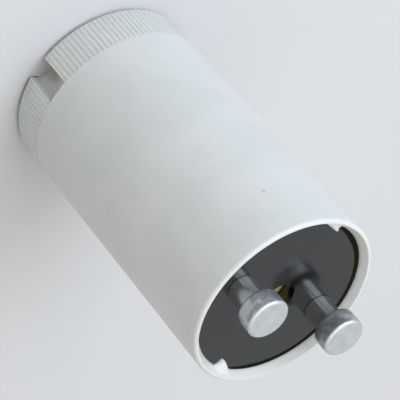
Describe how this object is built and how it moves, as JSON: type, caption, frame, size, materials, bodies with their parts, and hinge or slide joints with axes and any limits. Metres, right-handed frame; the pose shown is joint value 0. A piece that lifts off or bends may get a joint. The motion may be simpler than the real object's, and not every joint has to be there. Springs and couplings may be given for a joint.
{
  "type": "fluorescent lamp starter",
  "caption": "Cylindrical lamp starter: a moulded can with a finely ribbed, notched cap end, closed by a dark disc that carries headed contact pins.",
  "frame": {"origin": "centre of the cap's end face, on which the starter stands", "axes": "+Z along the can's axis towards the contact pins; the row of pins lies along X"},
  "size_m": [0.021, 0.021, 0.0402],
  "materials": {
    "can_plastic": "white moulded plastic, satin",
    "disc_laminate": "dark grey laminate, smooth and slightly glossy",
    "pin_aluminium": "headed aluminium, matt face and drawn sides",
    "capacitor_coat": "yellow dipped coat",
    "tinned_wire": "tinned wire",
    "bulb_glass": "clear thin glass",
    "coated_wire": "copper-clad wire",
    "nickel": "drawn nickel rod",
    "bimetal": "rolled bimetal strip"
  },
  "bodies": {
    "root": {"can": "can_plastic", "base_disc": "disc_laminate", "contact_pin_left": "pin_aluminium", "contact_pin_right": "pin_aluminium", "capacitor": "capacitor_coat", "capacitor_lead_left": "tinned_wire", "capacitor_lead_right": "tinned_wire", "glow_bulb_glass": "bulb_glass", "bulb_lead_left": "coated_wire", "bulb_lead_right": "coated_wire", "bimetal_post": "nickel", "bimetal_strip": "bimetal", "fixed_electrode": "nickel"}
  },
  "joints": []
}
